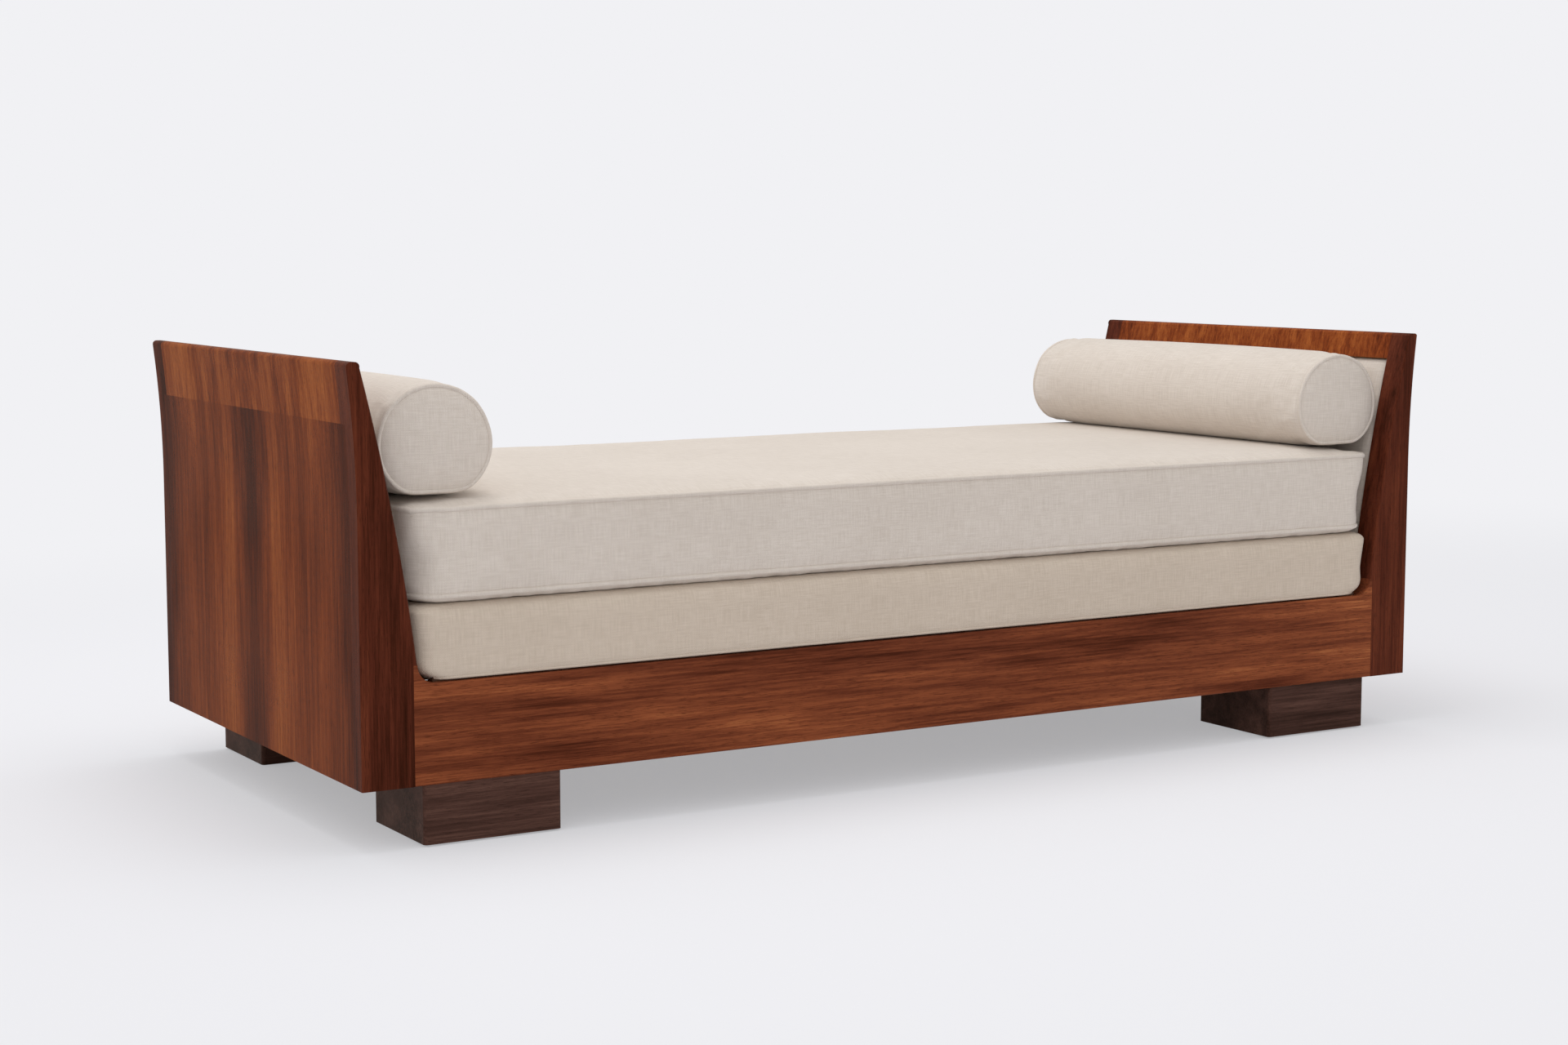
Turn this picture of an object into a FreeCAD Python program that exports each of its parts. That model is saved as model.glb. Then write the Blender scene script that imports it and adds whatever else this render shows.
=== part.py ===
# Backless divan: two flared wooden ends joined by low rails on four block feet, an upholstered
# base standing on the rails, a loose mattress and two loose bolsters.
# Sizes are in millimetres. +X runs along the length, +Y to the back and +Z up.
# The origin is on the floor, under the middle of the divan.
import FreeCAD, Part
import math
import os

V = FreeCAD.Vector

# Overall sizes
base_length = 2024.0          # outer face to outer face, below the flare of the ends
depth = 874.0                 # front face to back face
height = 710.0                # floor to the top of the ends
foot_height = 92.0            # floor to the underside of the rails

# Wooden ends
flare = 13.0                  # how far the top of an end leans out past its foot
flare_height = 223.0          # height of the curved stretch of the outer face
top_thickness = 20.0          # thickness of an end at its top edge
edge_round = 7.0              # rounding of the top edge
foot_width = 88.0             # width of a stile where it meets the rail
inner_bow = 7.0               # how far the inner edge bows towards the seat
stile_depth = 45.0            # front to back
panel_thickness = 12.0        # veneered outer panel
panel_lap = 15.0              # how far the outer panel runs into a stile's rebate
cap_outer = 90.0              # height of the cap rail outside
cap_inner = 46.0              # height of the cap rail above the inner pad
lower_rail_thickness = 25.0
stub_length = 22.0            # stub tenons of the cap rail and the lower rail
stub_thickness = 9.0
stub_height = 30.0
stub_share = 0.25             # how far up the lower rail its two stub tenons stand, from each edge
board_thickness = 6.0         # board that backs the inner pad
stud_width = 40.0
stud_pitch = 300.0            # distance between the two studs of an end
soft_edge = 1.6               # bevel of the long visible edges

# Long rails
rail_height = 150.0
rail_thickness = 28.0
corner_radius = 28.0          # inner corner where a rail sweeps up into a stile
ear_lip = 6.0                 # thickness left at the tip of the rail's swept ear
tenon_length = 30.0
tenon_thickness = 12.0
tenon_shoulder = 22.0         # rail height left above and below a tenon
stretcher_width = 60.0
stretcher_height = 34.0
stretcher_drop = 34.0         # from the top of the rails to the top of a stretcher
stretcher_count = 3
housing_depth = 10.0          # how far a stretcher runs into the rails

# Feet
foot_x = 222.0
foot_y = 189.0
foot_inset = 96.0             # from the outer face of an end
foot_set_back = 2.0           # from the face of the rail
foot_corner = 6.0             # rounding of a foot's upright corners
glide_height = 3.0            # felt under each foot
glide_margin = 14.0           # from the edge of the foot
plate_thickness = 25.0        # board that carries a foot inside the rail
plate_rebate = 16.0
plate_margin = 12.0           # how far the plate runs past the foot
bolt_radius = 4.0
bolt_head_radius = 7.5        # to the corners of the hexagon
bolt_head_height = 5.5
bolt_length = 62.0
bolt_pitch = 120.0

# Upholstered base on the rails
base_height = 113.0
box_rail_width = 30.0
box_rail_height = 47.0
border_thickness = 10.0       # padding in front of the base's wooden rails
border_taper = 3.0            # how far the border's face narrows towards the front
lap_gap = 0.2                 # inside the half laps of the base's frame
strap_width = 50.0
strap_thickness = 1.5
cross_straps = 13
long_straps = 5
brace_count = 2
brace_drop = 4.0              # below the webbing, so that it can give
brace_housing = 8.0           # how far a brace runs into the rails
base_crown = 4.0
base_corner = 30.0
base_draw = 1.0
base_boxing = 2.0
base_roll = 12.0              # rounding along the upper edges
base_set_back = 3.0           # from the face of the rail

# Mattress
mattress_height = 142.0       # at its edges
mattress_crown = 11.0
mattress_corner = 48.0
mattress_draw = 5.0           # how far a side pulls in between its corners
boxing_draw = 3.0             # how far the border pulls in between its seams
mattress_roll = 13.0          # rounding along the lower edges
mattress_end_gap = 9.0        # to the end's inner face, at the underside
mattress_top_gap = 20.0       # and at the top
mattress_set_back = 5.0       # from the face of the rail
roll_turn = 0.3               # a roll's middle, as a share of its radius
crown_steps = [               # share of the way in from a side, and share of the crown reached
    (0.0, 0.0), (0.055, 0.55), (0.18, 0.88), (0.45, 1.0)]

# Inner pads and bolsters
pad_thickness = 10.0
pad_crown = 2.0
pad_rim = 3.3                 # bevel round a pad's face
pad_hidden = 45.0             # how far a pad runs down behind the base
bolster_width = 194.0
bolster_height = 170.0
bolster_length = 806.0
bolster_flat = 70.0           # width of the underside that lies on the mattress
bolster_sag = 9.0             # how far its widest line lies below the middle
bolster_shoulder = 16.0
bolster_dome = 5.0            # how far the ends stand out
bolster_waist = 0.985         # size near the ends, as a share of the middle
dome_rim = 0.55               # size of a dome's flat middle, as a share of the bolster
bolster_full = 0.6            # how far out from the middle it stays at its full size
bolster_gap = 4.5             # to the inner pad

# Clearances
body_gap = 0.4                # between pieces that lift off and what they touch
fit_gap = 0.25                # round fasteners and at the bottom of mortises
cloth_gap = 1.5               # between upholstery and the wood beside it
touch = 0.05                  # how near an edge must lie to count as on a face

# Levels and places that follow from the sizes above
half = base_length / 2
half_depth = depth / 2
rail_top = foot_height + rail_height
base_top = rail_top + base_height
mattress_bottom = base_top + body_gap
seat_edge = mattress_bottom + mattress_height
flare_start = height - edge_round - flare_height
pad_top = height - cap_inner
cap_bottom = height - cap_outer
pad_bottom = base_top - pad_hidden
joint_x = half - foot_width + ear_lip
between_stiles = half_depth - stile_depth
box_top = rail_top + box_rail_height
straps_top = box_top + 2 * strap_thickness

# The outer face is upright, then follows a circle that leans out to the top.
rise = flare_height
outer_radius = (rise ** 2 + flare ** 2) / (2 * flare)

# The inner edge follows one circle from the rail's swept corner to the top.
inner_low = (half - foot_width, rail_top + corner_radius)
inner_high = (half + flare - top_thickness, height - edge_round)
chord = math.dist(inner_low, inner_high)
inner_radius = (chord ** 2 / 4 + inner_bow ** 2) / (2 * inner_bow)
chord_lean = math.atan2(inner_high[0] - inner_low[0], inner_high[1] - inner_low[1])
inner_centre_x = (inner_low[0] + inner_high[0]) / 2 + (inner_radius - inner_bow) * math.cos(chord_lean)
inner_centre_z = (inner_low[1] + inner_high[1]) / 2 - (inner_radius - inner_bow) * math.sin(chord_lean)


def outer_x(z, inset=0.0):
    """X of the right end's outer face at a height, or of a surface set in from it."""
    if z <= flare_start:
        return half - inset
    return half + outer_radius - math.sqrt((outer_radius + inset) ** 2 - (z - flare_start) ** 2)


def inner_x(z, proud=0.0):
    """X of the right end's inner face at a height, or of a surface nearer the seat."""
    return inner_centre_x - math.sqrt((inner_radius + proud) ** 2 - (z - inner_centre_z) ** 2)


def at(x, z):
    return V(x, 0, z)


def line(a, b):
    return Part.LineSegment(a, b).toShape()


def arc(a, middle, b):
    return Part.Arc(a, middle, b).toShape()


def outer_edges(low, high, inset=0.0):
    """Edges up the outer face, straight and then flared."""
    edges = []
    start = low
    if low < flare_start:
        start = min(high, flare_start)
        edges.append(line(at(outer_x(low, inset), low), at(outer_x(start, inset), start)))
    if high > start:
        middle = (start + high) / 2
        edges.append(arc(at(outer_x(start, inset), start), at(outer_x(middle, inset), middle),
                         at(outer_x(high, inset), high)))
    return edges


def inner_edge(high, low, proud=0.0):
    """Edge down the inner face between two heights."""
    middle = (low + high) / 2
    return arc(at(inner_x(high, proud), high), at(inner_x(middle, proud), middle),
               at(inner_x(low, proud), low))


def top_edges():
    """The rounded top edge of an end, from the outer face to the inner face."""
    outside, inside = half + flare, inner_high[0]
    shoulder = height - edge_round
    bulge = edge_round * (1 - math.sqrt(0.5))
    return [
        arc(at(outside, shoulder), at(outside - bulge, height - bulge), at(outside - edge_round, height)),
        line(at(outside - edge_round, height), at(inside + edge_round, height)),
        arc(at(inside + edge_round, height), at(inside + bulge, height - bulge), at(inside, shoulder)),
    ]


def slab(edges, y0, y1):
    """Solid with an outline in the XZ plane, from y0 to y1."""
    face = Part.Face(outline(edges))
    face.translate(V(0, y0, 0))
    return face.extrude(V(0, y1 - y0, 0))


def outline(edges):
    """Closed wire through edges given in any order."""
    return Part.Wire(Part.__sortEdges__(edges))


def box(x0, x1, y0, y1, z0, z1):
    return Part.makeBox(x1 - x0, y1 - y0, z1 - z0, V(x0, y0, z0))


def rod(radius, length, place, direction):
    return Part.makeCylinder(radius, length, place, direction)


def flip_x(shape):
    return shape.mirror(V(0, 0, 0), V(1, 0, 0))


def flip_y(shape):
    return shape.mirror(V(0, 0, 0), V(0, 1, 0))


def edges_where(shape, wanted):
    """The edges of a shape whose two ends and middle all pass a test."""
    picked = []
    for edge in shape.Edges:
        ends = [vertex.Point for vertex in edge.Vertexes]
        middle = edge.valueAt((edge.FirstParameter + edge.LastParameter) / 2)
        if len(ends) == 2 and all(wanted(p) for p in ends + [middle]):
            picked.append(edge)
    return picked


def save(name, shape):
    shape.exportStep("parts/%s.step" % name)


# Wooden ends, drawn on the right and flipped for the left

def stile_blank():
    """Front stile: upright outer edge that flares, raked inner edge, narrow rounded top."""
    low = inner_low[1]
    edges = outer_edges(foot_height, height - edge_round) + top_edges()
    edges.append(inner_edge(height - edge_round, low))
    edges.append(line(at(inner_low[0], low), at(joint_x, low)))
    edges.append(line(at(joint_x, low), at(joint_x, foot_height)))
    edges.append(line(at(joint_x, foot_height), at(half, foot_height)))
    blank = slab(edges, -half_depth, -between_stiles)

    def long_front_edge(p):
        in_front = abs(p.y + half_depth) < touch
        on_outside = abs(p.x - outer_x(p.z)) < touch
        on_inside = p.z > low - touch and abs(p.x - inner_x(p.z)) < touch
        return in_front and (on_outside or on_inside)

    return blank.makeChamfer(soft_edge, edges_where(blank, long_front_edge))


def outer_panel():
    """Veneered panel between the stiles, lapped into a rebate in each."""
    edges = outer_edges(foot_height, cap_bottom) + outer_edges(foot_height, cap_bottom, panel_thickness)
    edges.append(line(at(outer_x(cap_bottom), cap_bottom), at(outer_x(cap_bottom, panel_thickness), cap_bottom)))
    edges.append(line(at(half - panel_thickness, foot_height), at(half, foot_height)))
    reach = between_stiles + panel_lap
    return slab(edges, -reach, reach)


def stub_tenons(gap=0.0):
    """Front stub tenons of the right end's cap rail and lower rail, or with a gap their mortises."""
    cap_z = height - cap_inner / 2
    lower_x = half - panel_thickness - lower_rail_thickness / 2
    places = [((outer_x(cap_z) + inner_x(cap_z)) / 2, cap_z),
              (lower_x, foot_height + stub_share * rail_height),
              (lower_x, rail_top - stub_share * rail_height)]
    y0 = -between_stiles - stub_length - gap
    return [box(x - stub_thickness / 2, x + stub_thickness / 2, y0, -between_stiles,
                z - stub_height / 2, z + stub_height / 2) for x, z in places]


def tenon(gap):
    """Tenon of the front rail at the right end, or with a gap its mortise."""
    y0 = -half_depth + (rail_thickness - tenon_thickness) / 2
    return box(joint_x, joint_x + tenon_length + gap, y0, y0 + tenon_thickness,
               foot_height + tenon_shoulder, rail_top - tenon_shoulder)


def front_stile(panel):
    stile = stile_blank().cut(panel).cut(tenon(fit_gap))
    for mortise in stub_tenons(fit_gap):
        stile = stile.cut(mortise)
    return stile


def with_tenons(shape, tenons):
    for piece in tenons:
        shape = shape.fuse(piece).fuse(flip_y(piece))
    return shape.removeSplitter()


def cap_rail():
    """Solid rail along the top, rebated inside for the board and its pad."""
    behind = -pad_thickness - board_thickness
    edges = outer_edges(cap_bottom, height - edge_round) + top_edges()
    edges.append(inner_edge(height - edge_round, pad_top))
    edges.append(line(at(inner_x(pad_top), pad_top), at(inner_x(pad_top, behind), pad_top)))
    edges.append(inner_edge(pad_top, cap_bottom, behind))
    edges.append(line(at(inner_x(cap_bottom, behind), cap_bottom), at(outer_x(cap_bottom), cap_bottom)))
    return with_tenons(slab(edges, -between_stiles, between_stiles), stub_tenons()[:1])


def lower_rail():
    x1 = half - panel_thickness
    rail = box(x1 - lower_rail_thickness, x1, -between_stiles, between_stiles, foot_height, rail_top)
    return with_tenons(rail, stub_tenons()[1:])


def bent_sheet(front, back, low, high, y0, y1):
    """Sheet that follows the inner face, between two surfaces nearer the seat."""
    edges = [inner_edge(high, low, front),
             line(at(inner_x(low, front), low), at(inner_x(low, back), low)),
             inner_edge(high, low, back),
             line(at(inner_x(high, back), high), at(inner_x(high, front), high))]
    return slab(edges, y0, y1)


def backing_board():
    return bent_sheet(-pad_thickness, -pad_thickness - board_thickness, rail_top, pad_top,
                      -between_stiles, between_stiles)


def studs():
    """Two tapered uprights that hold the backing board off the outer panel."""
    behind = -pad_thickness - board_thickness
    front = inner_edge(cap_bottom, rail_top, behind)
    back = outer_edges(rail_top, cap_bottom, panel_thickness)
    low = line(at(inner_x(rail_top, behind), rail_top), at(outer_x(rail_top, panel_thickness), rail_top))
    high = line(at(outer_x(cap_bottom, panel_thickness), cap_bottom), at(inner_x(cap_bottom, behind), cap_bottom))
    outer = stud_pitch / 2 + stud_width / 2
    inner = stud_pitch / 2 - stud_width / 2
    edges = [front, low, high] + back
    return Part.makeCompound([slab(edges, -outer, -inner), slab(edges, inner, outer)])


def inner_pad():
    """Thin upholstered pad between the stiles, its face bowed and its rim rounded."""
    low, high = pad_bottom, pad_top - cloth_gap
    middle = (low + high) / 2
    face_low, face_high = at(inner_x(low), low), at(inner_x(high), high)
    back_low, back_high = at(inner_x(low, -pad_thickness), low), at(inner_x(high, -pad_thickness), high)
    reach = between_stiles - cloth_gap
    pad = slab([arc(face_low, at(inner_x(middle, pad_crown), middle), face_high),
                line(face_high, back_high),
                inner_edge(high, low, -pad_thickness),
                line(back_low, face_low)], -reach, reach)

    def on_face(p):
        return p.x < inner_x(p.z, -pad_thickness / 2)

    return pad.makeChamfer(pad_rim, edges_where(pad, on_face))


# Long rails and what ties them

def stretcher_places():
    span = 2 * inner_low[0]
    return [span * (i + 1) / (stretcher_count + 1) - span / 2 for i in range(stretcher_count)]


def stretcher(x, gap=0.0):
    z0 = rail_top - stretcher_drop - stretcher_height
    reach = half_depth - rail_thickness + housing_depth + gap
    return box(x - stretcher_width / 2, x + stretcher_width / 2, -reach, reach, z0, z0 + stretcher_height)


def front_rail(plate):
    """Rail whose top edge sweeps up at both ends into the stiles, with a tenon each end."""
    tip_x, tip_z = inner_low
    bend = corner_radius * (1 - math.sqrt(0.5))
    right = [line(at(joint_x, foot_height), at(joint_x, tip_z)),
             line(at(joint_x, tip_z), at(tip_x, tip_z)),
             arc(at(tip_x, tip_z), at(tip_x - bend, rail_top + bend), at(tip_x - corner_radius, rail_top))]
    left = [flip_x(edge) for edge in right]
    edges = right + left
    edges.append(line(at(tip_x - corner_radius, rail_top), at(corner_radius - tip_x, rail_top)))
    edges.append(line(at(-joint_x, foot_height), at(joint_x, foot_height)))
    rail = slab(edges, -half_depth, rail_thickness - half_depth)

    def lower_front(p):
        return abs(p.y + half_depth) < touch and abs(p.z - foot_height) < touch

    rail = rail.makeChamfer(soft_edge, edges_where(rail, lower_front))
    rail = rail.fuse(tenon(0)).fuse(flip_x(tenon(0)))
    for x in stretcher_places():
        rail = rail.cut(stretcher(x, fit_gap))
    return rail.cut(plate).cut(flip_x(plate)).removeSplitter()


# Feet, drawn at the front right and flipped for the others

def foot_span():
    """X and Y range of the front right foot."""
    x1 = half - foot_inset
    y0 = -half_depth + foot_set_back
    return x1 - foot_x, x1, y0, y0 + foot_y


def bolt_places():
    x0, x1, y0, y1 = foot_span()
    y = (y0 + foot_set_back + rail_thickness + y1) / 2
    return [V((x0 + x1) / 2 + side * bolt_pitch / 2, y, foot_height + plate_thickness) for side in (-1, 1)]


def foot_bolts():
    bolts = []
    for place in bolt_places():
        shank = rod(bolt_radius, bolt_length, place, V(0, 0, -1))
        corners = [place + V(bolt_head_radius * math.cos(i * math.pi / 3),
                             bolt_head_radius * math.sin(i * math.pi / 3), 0) for i in range(7)]
        head = Part.Face(Part.makePolygon(corners)).extrude(V(0, 0, bolt_head_height))
        bolts.append(shank.fuse(head).removeSplitter())
    return bolts


def bolt_holes():
    depth_down = bolt_length + fit_gap
    return [rod(bolt_radius + fit_gap, depth_down, place, V(0, 0, -1)) for place in bolt_places()]


def foot():
    """Solid block foot with softened upright corners."""
    x0, x1, y0, y1 = foot_span()
    block = box(x0, x1, y0, y1, glide_height, foot_height)
    upright = [edge for edge in block.Edges if abs(edge.Length - (foot_height - glide_height)) < touch]
    block = block.makeFillet(foot_corner, upright)
    for hole in bolt_holes():
        block = block.cut(hole)
    return block


def foot_glide():
    x0, x1, y0, y1 = foot_span()
    return box(x0 + glide_margin, x1 - glide_margin, y0 + glide_margin, y1 - glide_margin, 0, glide_height)


def plate_span():
    x0, x1, y0, y1 = foot_span()
    front = -half_depth + rail_thickness - plate_rebate
    return x0 - plate_margin, min(x1 + plate_margin, joint_x), front, y1 + plate_margin


def plate_blank():
    """Board that carries a foot, with its front edge in a rebate of the rail."""
    x0, x1, y0, y1 = plate_span()
    return box(x0, x1, y0, y1, foot_height, foot_height + plate_thickness)


def foot_plate():
    plate = plate_blank()
    for hole in bolt_holes():
        plate = plate.cut(hole)
    return plate


# Upholstered base

def box_half_length():
    return inner_low[0] - corner_radius


def box_front():
    y0 = -half_depth + border_thickness + cloth_gap
    return y0, y0 + box_rail_width


def box_lap(gap=0.0):
    """Lower half of the base frame's front right corner, where the front rail is lapped away."""
    reach = box_half_length()
    y0, y1 = box_front()
    middle = (rail_top + box_top) / 2
    return box(reach - box_rail_width - gap, reach, y0, y1, rail_top, middle + gap)


def box_end_rail():
    """Right end rail of the base's wooden frame, its lower half running on under the corner laps."""
    reach = box_half_length()
    rail = box(reach - box_rail_width, reach, box_front()[1], -box_front()[1], rail_top, box_top)
    return rail.fuse(box_lap()).fuse(flip_y(box_lap())).removeSplitter()


def brace_places():
    span = 2 * (box_half_length() - box_rail_width)
    return [span * (i + 1) / (brace_count + 1) - span / 2 for i in range(brace_count)]


def brace(x, gap=0.0):
    reach = brace_housing + gap - box_front()[1]
    side = box_rail_width / 2 + gap
    return box(x - side, x + side, -reach, reach, rail_top, box_top - brace_drop + gap)


def box_front_rail():
    reach = box_half_length()
    y0, y1 = box_front()
    rail = box(-reach, reach, y0, y1, rail_top, box_top)
    rail = rail.cut(box_lap(lap_gap)).cut(flip_x(box_lap(lap_gap)))
    for x in brace_places():
        rail = rail.cut(brace(x, lap_gap))
    return rail


def straps(count, along_x):
    """Evenly spaced webbing straps, the long ones under the cross ones."""
    y_reach, x_reach = -box_front()[0], box_half_length()
    across, along = (y_reach, x_reach) if along_x else (x_reach, y_reach)
    pitch = 2 * (across - box_rail_width) / count
    z0 = box_top if along_x else box_top + strap_thickness
    pieces = []
    for i in range(count):
        middle = (i - (count - 1) / 2) * pitch
        low, high = middle - strap_width / 2, middle + strap_width / 2
        if along_x:
            pieces.append(box(-along, along, low, high, z0, z0 + strap_thickness))
        else:
            pieces.append(box(low, high, -along, along, z0, z0 + strap_thickness))
    return Part.makeCompound(pieces)


def cushion_outline(reach_x, reach_y, z, corner, draw):
    """Rounded rectangle at one height, its four sides pulled in between the corners."""
    bulge = corner * math.sqrt(0.5)
    quarter = []
    centre = V(reach_x - corner, reach_y - corner, z)
    quarter.append(arc(V(reach_x, corner - reach_y, z), V(reach_x - draw, 0, z), V(reach_x, reach_y - corner, z)))
    quarter.append(arc(V(reach_x, reach_y - corner, z), centre + V(bulge, bulge, 0),
                       V(reach_x - corner, reach_y, z)))
    quarter.append(arc(V(reach_x - corner, reach_y, z), V(0, reach_y - draw, z), V(corner - reach_x, reach_y, z)))
    quarter.append(arc(V(corner - reach_x, reach_y, z), V(-centre.x - bulge, centre.y + bulge, z),
                       V(-reach_x, reach_y - corner, z)))
    turned = []
    for edge in quarter:
        other = edge.copy()
        other.rotate(V(0, 0, 0), V(0, 0, 1), 180)
        turned.append(other)
    return Part.Wire(quarter + turned)


def rolled(radius):
    """Steps round a rolled edge: distance from its end, and how far the side draws in there."""
    return [(0.0, radius), (roll_turn * radius, roll_turn * radius), (radius, 0.0)] if radius else [(0.0, 0.0)]


def cushion(span_x, reach_y, span_z, crown, corner, draw, boxing, lower_roll=0.0, upper_roll=0.0):
    """Boxed cushion: a border with rolled edges, pulled in at mid height, under a crowned top.
    span_x is its half length at the bottom and at the top."""
    low, high = span_z
    sections = [(low + rise, inset) for rise, inset in rolled(lower_roll)]
    sections.append(((low + high) / 2, boxing))
    sections += [(high - drop, inset) for drop, inset in reversed(rolled(upper_roll))]

    def section(z, inset):
        reach_x = span_x[0] + (span_x[1] - span_x[0]) * (z - low) / (high - low)
        return cushion_outline(reach_x - inset, reach_y - inset, z, corner, draw)

    border = Part.makeLoft([section(z, inset) for z, inset in sections], True, True)
    top_x, top_y = span_x[1] - upper_roll, reach_y - upper_roll
    top = Part.makeLoft([
        cushion_outline(top_x - share * top_y, top_y * (1 - share), high + crown * lift,
                        corner * (1 + share), draw) for share, lift in crown_steps], True, True)
    return border.fuse(top).removeSplitter()


def base_pad():
    """Upholstered top of the base, lying on the webbing and reaching the front and back."""
    low_x = inner_x(straps_top, pad_crown) - 2 * cloth_gap
    high_x = inner_x(base_top, pad_crown) - 2 * cloth_gap
    return cushion((low_x, high_x), half_depth - base_set_back, (straps_top, base_top - base_crown),
                   base_crown, base_corner, base_draw, base_boxing, upper_roll=base_roll)


def border_section(y, shrink):
    """Outline of the front border with its lower corners following the rail's sweep."""
    inside = corner_radius - cloth_gap
    low, high = rail_top + shrink, straps_top - fit_gap
    reach = inner_low[0] - cloth_gap - shrink
    bend = inside * (1 - math.sqrt(0.5))
    right = [line(at(reach, high), at(reach, low + inside)),
             arc(at(reach, low + inside), at(reach - bend, low + bend), at(reach - inside, low))]
    left = [flip_x(edge) for edge in right]
    edges = right + left + [line(at(reach - inside, low), at(inside - reach, low)),
                            line(at(-reach, high), at(reach, high))]
    wire = outline(edges)
    wire.translate(V(0, y, 0))
    return wire


def front_border():
    """Padded strip that covers the front rail of the base, its face slightly full."""
    back = box_front()[0]
    front = -half_depth + base_set_back
    return Part.makeLoft([border_section(front, border_taper), border_section((front + back) / 2, cloth_gap),
                          border_section(back, cloth_gap)], True, False)


# Mattress and bolsters

def mattress():
    low_x = inner_x(base_top, pad_crown) - mattress_end_gap
    high_x = inner_x(seat_edge, pad_crown) - mattress_top_gap
    return cushion((low_x, high_x), half_depth - mattress_set_back, (mattress_bottom, seat_edge),
                   mattress_crown, mattress_corner, mattress_draw, boxing_draw, lower_roll=mattress_roll)


def bolster_side(share):
    """Points up one side of a bolster's section, from the flat underside to the top, at some share
    of the full size and measured from its middle."""
    wide, tall = share * bolster_width / 2, share * bolster_height / 2
    flat, sag = share * bolster_flat / 2, share * bolster_sag
    bend = math.sqrt(0.5)
    return [(flat, -tall),
            (flat + (wide - flat) * bend, -tall + (tall - sag) * (1 - bend)),
            (wide, -sag),
            (wide * bend, -sag + (tall + sag) * bend),
            (0.0, tall)]


def bolster_middle():
    """X and Z of the middle of the right bolster: lying on the mattress, beside the inner pad."""
    z = seat_edge + mattress_crown + body_gap + bolster_height / 2
    x = min(inner_x(z + up, pad_crown) - out for out, up in bolster_side(1.0)) - bolster_gap
    return x, z


def bolster_section(y, share):
    """Outline of a bolster at one place along it: round above, full at the sides and flat below."""
    x, z = bolster_middle()
    right = [V(x + out, y, z + up) for out, up in bolster_side(share)]
    left = [V(x - out, y, z + up) for out, up in bolster_side(share)]
    return outline([line(left[0], right[0]), arc(*right[:3]), arc(*right[2:]),
                    arc(*left[2:]), arc(*left[:3])])


def bolster():
    """Soft bolster with a full middle, rounded shoulders and slightly domed ends."""
    end = bolster_length / 2
    disc = end - bolster_dome
    shoulder = 2 * bolster_shoulder / bolster_height
    stations = [(end, dome_rim), (disc, bolster_waist - shoulder),
                (disc - roll_turn * bolster_shoulder, bolster_waist - roll_turn * shoulder),
                (disc - bolster_shoulder, bolster_waist), (bolster_full * end, 1.0)]
    sections = [(-y, share) for y, share in stations] + [(y, share) for y, share in reversed(stations)]
    return Part.makeLoft([bolster_section(y, share) for y, share in sections], True, True)


def four(shapes):
    """The shapes at the front right, and their copies at the other three corners."""
    copies = list(shapes)
    copies += [flip_x(shape) for shape in shapes]
    return copies + [flip_y(shape) for shape in copies]


def build():
    os.makedirs("parts", exist_ok=True)

    panel = outer_panel()
    front = front_stile(panel)
    end_pieces = {
        "front_stile": front,
        "back_stile": flip_y(front),
        "outer_panel": panel,
        "cap_rail": cap_rail(),
        "lower_rail": lower_rail(),
        "backing_board": backing_board(),
        "studs": studs(),
        "inner_pad": inner_pad(),
    }
    for name, shape in end_pieces.items():
        save("right_end_" + name, shape)
        save("left_end_" + name, flip_x(shape))

    rail = front_rail(plate_blank())
    save("front_rail", rail)
    save("back_rail", flip_y(rail))
    for name, x in zip(("left", "middle", "right"), stretcher_places()):
        save("stretcher_" + name, stretcher(x))

    corner_pieces = {"foot": foot(), "foot_plate": foot_plate()}
    for name, shape in corner_pieces.items():
        save(name + "_front_right", shape)
        save(name + "_front_left", flip_x(shape))
        save(name + "_back_right", flip_y(shape))
        save(name + "_back_left", flip_y(flip_x(shape)))
    save("foot_glides", Part.makeCompound(four([foot_glide()])))
    save("foot_bolts", Part.makeCompound(four(foot_bolts())))

    save("base_front_rail", box_front_rail())
    save("base_back_rail", flip_y(box_front_rail()))
    save("base_right_rail", box_end_rail())
    save("base_left_rail", flip_x(box_end_rail()))
    save("base_braces", Part.makeCompound([brace(x) for x in brace_places()]))
    save("webbing_long", straps(long_straps, True))
    save("webbing_cross", straps(cross_straps, False))
    save("base_pad", base_pad())
    save("base_front_border", front_border())
    save("base_back_border", flip_y(front_border()))

    save("mattress", mattress())
    save("bolster_right", bolster())
    save("bolster_left", flip_x(bolster()))


build()
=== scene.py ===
import math

import bpy
import numpy as np
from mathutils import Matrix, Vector, noise


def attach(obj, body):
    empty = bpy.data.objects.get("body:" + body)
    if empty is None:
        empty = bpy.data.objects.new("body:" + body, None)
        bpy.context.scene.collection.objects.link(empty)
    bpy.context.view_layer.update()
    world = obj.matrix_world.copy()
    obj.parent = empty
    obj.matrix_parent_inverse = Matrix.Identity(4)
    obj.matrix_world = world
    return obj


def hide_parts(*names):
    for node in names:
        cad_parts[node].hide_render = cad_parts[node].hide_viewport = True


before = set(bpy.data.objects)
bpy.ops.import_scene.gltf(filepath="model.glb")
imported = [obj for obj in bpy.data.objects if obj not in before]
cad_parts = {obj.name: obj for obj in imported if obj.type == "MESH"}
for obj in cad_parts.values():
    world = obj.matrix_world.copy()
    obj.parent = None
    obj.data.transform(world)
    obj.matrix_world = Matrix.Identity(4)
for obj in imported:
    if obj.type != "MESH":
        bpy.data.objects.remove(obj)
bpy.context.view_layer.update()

# Soft pieces, in metres
GRID = 0.013                  # mesh size of the cushions before they are smoothed
WEAVE_PITCH = 0.0024
PIPING_RADIUS = 0.0042
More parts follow.
